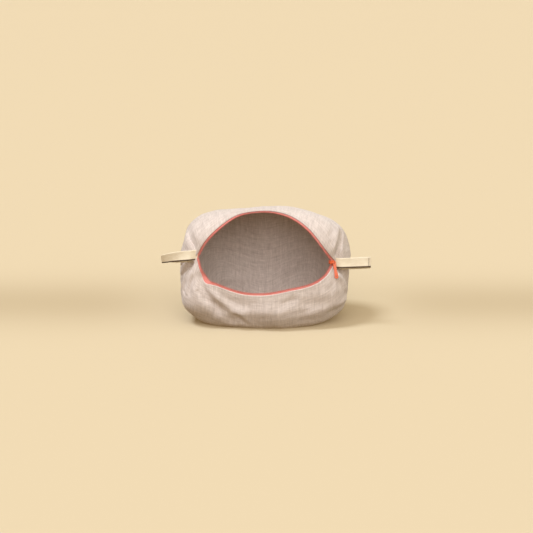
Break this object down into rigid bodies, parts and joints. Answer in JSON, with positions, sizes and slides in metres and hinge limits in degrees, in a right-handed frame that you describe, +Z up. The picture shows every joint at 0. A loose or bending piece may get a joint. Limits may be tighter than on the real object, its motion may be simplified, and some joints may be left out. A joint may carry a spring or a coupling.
{
  "type": "produce bag",
  "caption": "Soft boxy linen pouch, filled out, with a long curved zip open along its front, a slider with a pull and a ribbon tab at each end.",
  "frame": {"origin": "on the ground under the middle of the bag, with its tabs counted", "axes": "+Z up, +X to the slider's end of the zip, -Y to the front, where the mouth opens"},
  "size_m": [0.4316, 0.1969, 0.2401],
  "materials": {
    "linen": "unbleached plain-weave linen with slubs",
    "zip_tape": "coral woven zip tape",
    "zip_coil": "coral moulded coil",
    "zip_metal": "orange coral lacquer",
    "ribbon": "bare cream ribbon"
  },
  "bodies": {
    "root": {"front_panel": "linen", "back_panel": "linen", "zip_tape_lower": "zip_tape", "zip_tape_upper": "zip_tape", "zip_coil_lower": "zip_coil", "zip_coil_upper": "zip_coil", "zip_slider": "zip_metal", "zip_pull": "zip_metal", "tab_right": "ribbon", "tab_left": "ribbon"}
  },
  "joints": []
}
